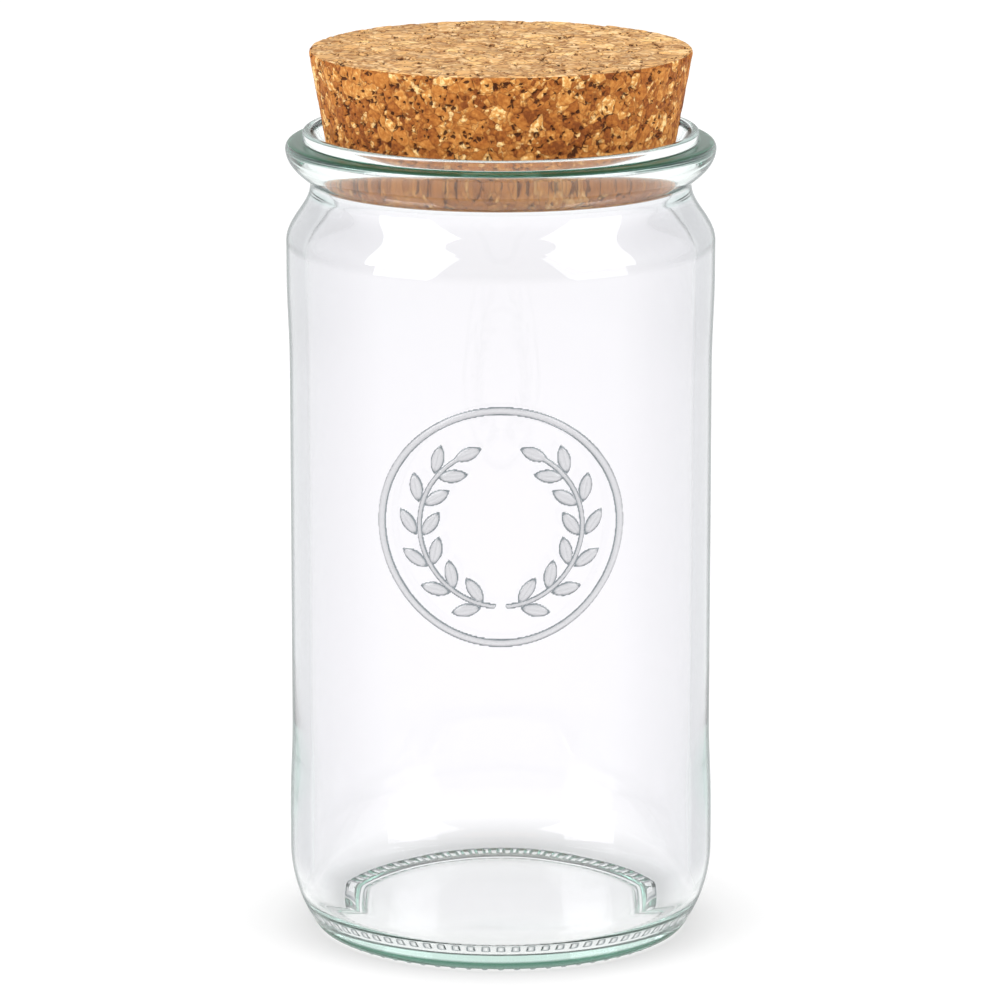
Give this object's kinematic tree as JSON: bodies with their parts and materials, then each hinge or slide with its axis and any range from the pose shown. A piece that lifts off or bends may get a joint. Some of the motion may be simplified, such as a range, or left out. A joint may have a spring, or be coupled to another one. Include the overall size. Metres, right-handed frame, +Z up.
{
  "type": "glass jar with cork lid",
  "caption": "Straight-sided preserving jar of clear, faintly green glass with a flanged rim, closed by a tapered stopper of pressed cork that lifts out.",
  "frame": {"origin": "middle of the foot, on the table", "axes": "+Z up along the jar's axis, -Y towards the raised medallion on the front, +X to the right as seen from the front"},
  "size_m": [0.0683, 0.0682, 0.1429],
  "materials": {
    "glass": "clear and polished, with a green cast where it is thick",
    "cork": "matt, pressed from light and dark granules with small pits"
  },
  "bodies": {
    "jar": {"glass_jar": "glass"},
    "cork": {"cork_stopper": "cork"}
  },
  "joints": [
    {"name": "cork_lift", "type": "slide", "parent": "jar", "child": "cork", "axis": [0, 0, 1], "range_m": [0, 0.08]}
  ]
}
